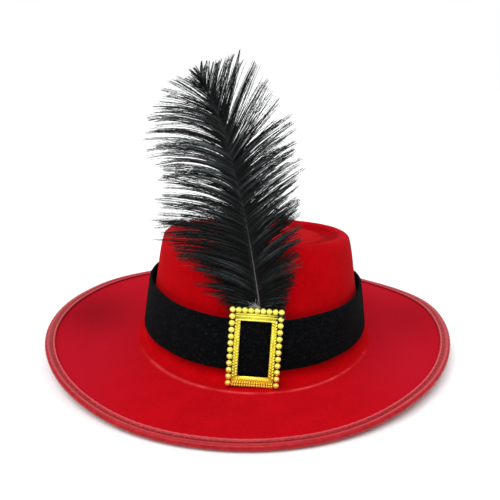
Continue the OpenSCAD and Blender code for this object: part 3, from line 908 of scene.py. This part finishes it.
def lathe(parts, line, segments, stretch=(1, 1, 1), turn=0.0, at=(0, 0, 0)):
    """A solid of revolution about local z from (radius, height) points, then stretched, turned and moved."""
    line = np.asarray(line, float)
    g = FULL_TURN * np.arange(segments) / segments
    ring = np.stack([np.cos(g), np.sin(g)], -1)
    heights = np.broadcast_to(line[:, None, 1:], (len(line), segments, 1))
    p = np.concatenate([line[:, None, :1] * ring[None], heights], -1).reshape(-1, 3)
    low, high = len(p), len(p) + 1
    p = np.concatenate([p, [[0, 0, line[0, 1]], [0, 0, line[-1, 1]]]]) * np.asarray(stretch)
    p = np.stack([*rotated(p[:, 0], p[:, 1], turn), p[:, 2]], -1) + np.asarray(at, float)
    quads = grid_faces(len(line), segments, wrap_rows=False)[:, ::-1]
    foot = np.arange(segments)
    head = foot + (len(line) - 1) * segments
    parts.add(p, quads, np.concatenate([rosette(low, foot, flip=True), rosette(high, head)]))


def dome(r, foot=0.75, steps=9):
    """Half-profile of a cast bead: a short neck on the back and a round cap."""
    cap = arc(0, 0, r, -35, 86, steps)
    return np.concatenate([[[r * foot, -r]], cap])


def bar(parts, start, end, across, line):
    """A straight bar in the buckle's plane. line is its section, as (offset across, height) points."""
    line = np.asarray(line, float)
    rows = [np.concatenate([np.array([place], float) + np.array([across]) * line[:, :1], line[:, 1:]], -1)
            for place in (start, end)]
    m = len(line)
    parts.add(np.concatenate(rows), grid_faces(2, m, wrap_rows=False), end_fans(m, m))


def ridge(mid, half, base, height):
    """A half-round moulding in section, from mid - half to mid + half."""
    g = np.linspace(math.pi, 0, 7)
    return [[mid + half * math.cos(q), base + height * math.sin(q)] for q in g]


def build_buckle():
    """Cast frame: plate, rope strands down the sides, smooth mouldings above and ribbed rows below."""
    parts = Parts()
    half_w, half_h, base = BUCKLE_W / 2, BUCKLE_H / 2, 1.1
    in_w = half_w - BUCKLE_SIDE
    top_in, foot_in = half_h - BUCKLE_HEAD, -half_h + BUCKLE_FOOT
    for start, end, inward, width in (((-half_w, half_h), (half_w, half_h), (0, -1), BUCKLE_HEAD),
                                      ((-half_w, -half_h), (half_w, -half_h), (0, 1), BUCKLE_FOOT),
                                      ((-half_w, foot_in), (-half_w, top_in), (1, 0), BUCKLE_SIDE),
                                      ((half_w, foot_in), (half_w, top_in), (-1, 0), BUCKLE_SIDE)):
        bar(parts, start, end, inward, [[0, 0], [width, 0], [width, base], [0, base]])
    for mid, half, high in ((0.8, 0.75, 1.2), (2.45, 0.8, 1.45), (4.95, 0.8, 1.5)):
        section = [[mid - half, 0.2]] + ridge(mid, half, base - 0.1, high) + [[mid + half, 0.2]]
        bar(parts, (-half_w + 0.4, half_h), (half_w - 0.4, half_h), (0, -1), section)
    rib = np.concatenate([[[0.75, -0.9]], arc(0, 0, 1, -40, 84, 6)])
    dot = arc(0, 0, 1, -60, 84, 5)
    for i in range(19):
        lathe(parts, dot, 8, (0.4, 0.4, 0.45), at=((i - 9) * 1.45, half_h - 3.7, base + 0.35))
    pitch = 2.1
    count = int((top_in - foot_in) / pitch)
    for side in (-1, 1):
        for i in range(count + 1):
            y = foot_in + 0.4 + pitch * i
            outer, inner = (side * (half_w - 1.0), y, base), (side * (in_w + 1.05), y + pitch / 2, base)
            lathe(parts, rib, 12, (1.2, 0.56, 1.4), turn=side * 0.6, at=outer)
            lathe(parts, rib, 12, (1.25, 0.58, 1.7), turn=-side * 0.6, at=inner)
    pitch = 1.72
    for row, size, count in ((1.2, (0.78, 0.8, 1.7), 17), (3.7, (0.64, 1.3, 1.9), 14)):
        for i in range(count):
            x = (i - (count - 1) / 2) * pitch
            lathe(parts, rib, 12, size, at=(x, -half_h + row, base))
    return parts.put("buckle_casting", on_buckle)


def build_buckle_beads():
    """Round beads over the frame's head and down both sides."""
    parts = Parts()
    x, y = BUCKLE_W / 2 + BEAD_R + 0.02, BUCKLE_H / 2 + BEAD_R + 0.02
    pitch = (BUCKLE_H + BEAD_R - 0.5) / 11
    places = [(-x + 2 * x * i / 8, y) for i in range(9)]
    places += [(s * x, y - pitch * i) for s in (-1, 1) for i in range(1, 12)]
    for px, py in places:
        lathe(parts, dome(BEAD_R), 26, (1, 1, 1.05), at=(px, py, BEAD_R))
    return parts.put("buckle_bead_row", on_buckle)


def build_foot_beads():
    """Small drops in a row under the frame's foot."""
    parts = Parts()
    count = 17
    pitch = BUCKLE_W / count
    drop = dome(pitch / 2, foot=0.6, steps=7)
    for i in range(count):
        at = ((i - (count - 1) / 2) * pitch, -BUCKLE_H / 2 - 0.9, 1.0)
        lathe(parts, drop, 16, (0.98, 1.35, 1.1), at=at)
    return parts.put("buckle_foot_bead_row", on_buckle)


# -------------------- plume

SHAFT = np.array([[-0.8, 6.2], [-8, 56], [-17, 128], [-42, 177]])


def shaft_at(s):
    s = np.asarray(s, float)[..., None]
    q = 1 - s
    return q ** 3 * SHAFT[0] + 3 * q * q * s * SHAFT[1] + 3 * q * s * s * SHAFT[2] + s ** 3 * SHAFT[3]


def on_plume(points):
    """Plume's own frame, u to the right, v up its plane and w out to the front, to the hat's frame."""
    p = np.asarray(points, float)
    return TACK + p[..., :1] * np.array([1.0, 0, 0]) + p[..., 1:2] * PLUME_UP + p[..., 2:] * PLUME_OUT


# Height of the root on the shaft, direction at the root and at the tip in degrees from +u, and length.
LEFT_BARBS = np.array([
    [8, 158, 176, 22], [17, 150, 174, 37], [25, 143, 170, 51], [40, 146, 178, 57], [52, 150, 180, 63],
    [66, 153, 184, 67], [87, 144, 178, 60], [101, 140, 190, 60], [124, 140, 192, 60], [143, 144, 188, 48],
    [155, 140, 160, 33], [166, 134, 142, 17], [177, 120, 116, 6]], float)
RIGHT_BARBS = np.array([
    [8, 28, -20, 16], [17, 27, 0, 21], [24, 34, 14, 29], [33, 42, 26, 36], [46, 46, 30, 41],
    [63, 46, 33, 42], [81, 44, 32, 45], [104, 44, 30, 48], [118, 50, 36, 52], [126, 60, 54, 52],
    [134, 70, 65, 50], [143, 74, 70, 45], [155, 82, 72, 35], [166, 86, 76, 17], [177, 92, 86, 7]], float)

# One layer of barbs each: how many, lowest and highest root, share of the full length, turn away from the
# middle of the vane in degrees, place behind the shaft in mm, and share of strays.
LAYERS = ((300, 9.5, 176.5, 1.0, 0, -0.3, 0.12),
          (280, 9.5, 172, 0.94, 5, 1.3, 0.10),
          (160, 8.5, 120, 0.78, 9, 2.4, 0.2),
          (150, 9, 70, 0.97, 3, 0.5, 0.1),
          (90, 7.5, 30, 0.85, 2, 0.2, 0.5))
BARB_STEPS = 15
BARBULES_PER_BARB = 29


def barb_paths(table, side, layer, rng):
    """Centre lines of one layer of barbs on one side, matted into pointed strands, and the gloss of each."""
    count, v_low, v_high, share, turned, behind, strays = layer
    s_line = np.linspace(0, 1, 400)
    heights = shaft_at(s_line)[:, 1]
    v = np.linspace(v_low, v_high, count) + rng.normal(0, 0.18, count)
    v = v[rng.random(count) > 0.55 * smooth((v - 148) / 20)]
    count = len(v)
    roots = shaft_at(np.interp(v, heights, s_line))
    clump = np.zeros(count, int)
    i = number = 0
    while i < count:
        size = int(rng.integers(3, 9))
        clump[i:i + size] = number
        i, number = i + size, number + 1
    own = {name: rng.normal(0, 1, number)[clump] for name in ("turn", "end", "long", "deep")}
    start, end, length = (np.interp(v, table[:, 0], table[:, i]) for i in (1, 2, 3))
    start = start + side * turned + 3.0 * own["turn"] + rng.normal(0, 1.2, count)
    end = end + 4.5 * own["end"] + rng.normal(0, 2.5, count)
    length = share * length * (1 + 0.04 * own["long"] + rng.normal(0, 0.03, count))
    r = np.linspace(0, 1, BARB_STEPS)
    angle = np.radians(start[:, None] + (end - start)[:, None] * r[None] ** 0.75)
    step = length[:, None] / (BARB_STEPS - 1)
    flow = np.stack([np.cos(angle), np.sin(angle)], -1) * step[..., None]
    flat = roots[:, None] + np.concatenate([np.zeros((count, 1, 2)), np.cumsum(flow[:, :-1], axis=1)], axis=1)
    middle = np.array([flat[clump == k].mean(0) for k in range(number)])[clump]
    hold = smooth((v - 50) / 60) * 0.15 + 0.55 + rng.normal(0, 0.08, count)
    hold = np.where(rng.random(count) < strays, 0.1, hold)
    pull = hold[:, None] * smooth((r[None] - 0.35) / 0.65) ** 1.3
    flat = mix(flat, middle, pull[..., None])
    reach = (1.8 + 2.0 * abs(own["deep"])) * np.sign(own["deep"] + 0.35)
    deep = reach[:, None] * r[None] ** 1.6 + rng.normal(0, 0.5, count)[:, None] * r[None] * (1 - pull)
    above_crown = smooth((flat[..., 1] - 58) / 20)
    wide = smooth((abs(flat[..., 0] + 6) - 30) / 25)
    lowest = mix(-1.0, -12.0, np.maximum(above_crown, 0.5 * wide))
    front = 4.5 * (1 - smooth((flat[..., 1] - 6) / 16)) * smooth(r[None] / 0.15)
    deep = np.maximum(deep - behind, lowest) + front
    # Painted sheen: a random gloss for each pair of barbs, brighter higher up the plume where the strands are
    # lit.
    gloss = np.repeat(rng.random(count // 2 + 1), 2)[:count] * mix(0.8, 1.0, smooth((v - 40) / 70))
    return np.concatenate([flat, deep[..., None]], -1), gloss


def build_barbs(name, table, side, seed):
    """One vane: layers of barbs as one mesh, and the barbules that stand off them as another."""
    rng = np.random.default_rng(seed)
    made = [barb_paths(table, side, layer, rng) for layer in LAYERS]
    paths, gloss = (np.concatenate([m[i] for m in made]) for i in (0, 1))
    count, steps = paths.shape[:2]
    r = np.linspace(0, 1, steps)
    radii = (0.34 - 0.27 * r[None]) * (0.85 + 0.3 * rng.random(count))[:, None]
    points, quads, tris, number, way = tubes(on_plume(paths), radii, 4, PLUME_OUT)
    # Less painted sheen near the barb's root, by the shaft.
    layers = {"shade": gloss[number] * (0.6 + 0.4 * smooth(way / 0.4)), "way": way}
    barbs = put_mesh(name, points, quads, tris, layers)

    each = (count, BARBULES_PER_BARB)
    at = rng.random(each) ** 0.8 * 0.96
    spot = at * (steps - 1)
    low = np.floor(spot).astype(int)
    part = (spot - low)[..., None]
    rows = np.arange(count)[:, None]
    root = mix(paths[rows, low], paths[rows, low + 1], part)
    ahead = unit(paths[rows, low + 1] - paths[rows, low])
    across = np.stack([-ahead[..., 1], ahead[..., 0], 0 * ahead[..., 0]], -1)
    sign = rng.choice([-1.0, 1.0], each)[..., None]
    out = rng.normal(0, 0.5, each)[..., None] * np.array([0, 0, 1.0])
    long = (3.0 * (1 - 0.7 * at) * (0.6 + 0.7 * rng.random(each)))[..., None]
    s = np.array([0, 0.5, 1.0])[None, None, :, None]
    open_way = 0.55 * across * sign + out
    hair = (root[:, :, None] + long[:, :, None] * (s * ahead[:, :, None] * (0.7 + 0.3 * s)
            + s * (1 - 0.35 * s) * open_way[:, :, None] * 0.62))
    hair = hair.reshape(-1, 3, 3)
    thin = np.broadcast_to(np.array([0.12, 0.09, 0.03]), hair.shape[:2])
    points, quads, tris, number, way = tubes(on_plume(hair), thin, 3, PLUME_OUT)
    # The barbules mix their barb's painted sheen with a random share of their own, less near the barb's root,
    # and are darker overall.
    own_gloss = mix(gloss[number // BARBULES_PER_BARB], shade_of(number, len(hair), seed + 2), 0.4)
    own_gloss = own_gloss * (0.6 + 0.4 * smooth(at.ravel()[number] / 0.4))
    layers = {"shade": 0.8 * own_gloss, "way": 0.5 * way}
    barbules = put_mesh(name.replace("barbs", "barbules"), points, quads, tris, layers)
    return barbs, barbules


def build_shaft():
    """The rachis: a tapering horn rod."""
    steps, sides = 90, 14
    s = np.linspace(0, 1, steps)
    line = shaft_at(s)
    path = np.concatenate([line, np.zeros((steps, 1))], -1)
    radius = 0.2 + 0.62 * (1 - s) ** 1.2
    points, quads, tris, _, way = tubes(on_plume(path)[None], radius[None], sides, PLUME_OUT)
    return put_mesh("shaft_rachis", points, quads, tris, {"way": way})


def build_down():
    """Small curled tuft of undyed down at the foot of the vanes."""
    rng = np.random.default_rng(77)
    count, steps = 15, 9
    s = np.linspace(0, 1, steps)[None]
    root = np.stack([-2.6 + rng.normal(0, 0.4, count), 17.0 + rng.normal(0, 0.5, count)], -1)
    start = rng.normal(150, 12, count)[:, None]
    curl = rng.normal(-10, 55, count)[:, None]
    angle = np.radians(start + curl * s)
    length = (4.0 + 4.5 * rng.random(count))[:, None]
    flow = np.stack([np.cos(angle), np.sin(angle)], -1) * (length / (steps - 1))[..., None]
    flat = root[:, None] + np.cumsum(flow, axis=1)
    deep = 1.0 + 1.6 * np.sin(s * 2.2) * rng.random((count, 1)) + 0.5 * rng.random((count, 1))
    paths = np.concatenate([flat, deep[..., None]], -1)
    radii = np.broadcast_to(0.11 - 0.07 * s, (count, steps))
    points, quads, tris, number, way = tubes(on_plume(paths), radii, 4, PLUME_OUT)
    return put_mesh("down_tuft", points, quads, tris, {"shade": shade_of(number, count, 78), "way": way})


# -------------------- assembly

studio()

felt = dress(build_felt(), red_felt(), "hat", "red_felt", "felt_body")
red_hair = plain("red_hair", (0.32, 0.001, 0.004), (0.48, 0.004, 0.010), 0.9, 2000)
fibres("felt_fibres", 9000, 61, pick_felt, 1.3, 0.03, red_hair, "hat", "red_felt", rise=0.4)
# Its third colour is the painted highlight on the tape's crests.
tape_look = satin("satin_tape", (0.27, 0.001, 0.005), (0.40, 0.003, 0.010), (0.68, 0.10, 0.12), 0.34)
tape = dress(build_binding(), tape_look, "hat", "satin_tape", "brim_binding")
red_thread = thread_material("red_thread", (0.16, 0.002, 0.006), (0.34, 0.006, 0.014))
dress(build_binding_stitches(), red_thread, "hat", "red_thread", "binding_stitches")

band_look = black_felt()
band = dress(build_band(), band_look, "hat", "black_felt", "hat_band")
black_thread = thread_material("black_thread", (0.006, 0.006, 0.007), (0.035, 0.035, 0.04))
dress(build_band_stitches(), black_thread, "hat", "black_thread", "band_end_stitches")
stray_hair = plume_black("stray_hair", (0.001, 0.0016, 0.002), (0.016, 0.020, 0.022), 0.8)
fibres("band_fibres", 5200, 21, pick_band, 2.6, 0.045, stray_hair, "hat", "black_felt")

sweatband_look = plain("sweatband", (0.012, 0.012, 0.013), (0.035, 0.035, 0.038), 0.5, 800, bump_mm=0.08)
sweatband = dress(build_sweatband(), sweatband_look, "hat", "sweatband", "sweatband")

gold = gold_plate()
dress(build_buckle(), gold, "hat", "gold_plate", "buckle_frame")
dress(build_buckle_beads(), gold, "hat", "gold_plate", "buckle_beads")
dress(build_foot_beads(), gold, "hat", "gold_plate", "buckle_foot_beads")

barb_look = plume_black("plume_barbs", (0.0006, 0.001, 0.0012), (0.30, 0.38, 0.375), 0.5)
for side_name, table, side, seed in (("left", LEFT_BARBS, -1, 31), ("right", RIGHT_BARBS, 1, 41)):
    barbs, barbules = build_barbs("barbs_" + side_name, table, side, seed)
    dress(barbs, barb_look, "plume", "black_plume", "plume_vane_" + side_name)
    dress(barbules, barb_look, "plume", "black_plume")
shaft_look = horn("shaft", (0.075, 0.062, 0.066), (0.008, 0.008, 0.010))
dress(build_shaft(), shaft_look, "plume", "shaft", "plume_shaft")
down_look = plain("pale_down", (0.42, 0.44, 0.44), (0.75, 0.76, 0.76), 0.8, 900)
dress(build_down(), down_look, "plume", "pale_down", "plume_down")

steel = plain("steel_wire", (0.38, 0.38, 0.40), (0.55, 0.55, 0.57), 0.35, 900, metallic=1.0)
glue_look = glue()
quill_look = plain("quill", (0.20, 0.15, 0.11), (0.34, 0.27, 0.21), 0.45, 700, stretch=(1, 1, 0.2))
label_look = plain("label", (0.62, 0.61, 0.58), (0.74, 0.73, 0.70), 0.55, 1800)
label = dress(build_label(), label_look, "hat", "label", "size_label")
pale_thread = plain("pale_thread", (0.45, 0.45, 0.45), (0.68, 0.68, 0.68), 0.7, 3000)
dark_thread = plain("dark_thread", (0.006, 0.006, 0.007), (0.03, 0.03, 0.034), 0.75, 3000)
for material, nodes in ((steel, ("brim_wire", "wire_joiner")),
                        (glue_look, ("band_glue_spots", "buckle_glue_pads")),
                        (quill_look, ("plume_quill",)),
                        (pale_thread, ("label_stitches",)),
                        (dark_thread, ("sweatband_stitches", "sweatband_join_stitches",
                                       "plume_tack", "plume_thread_wrap"))):
    for node in nodes:
        paint(frame["nodes"][node], material)
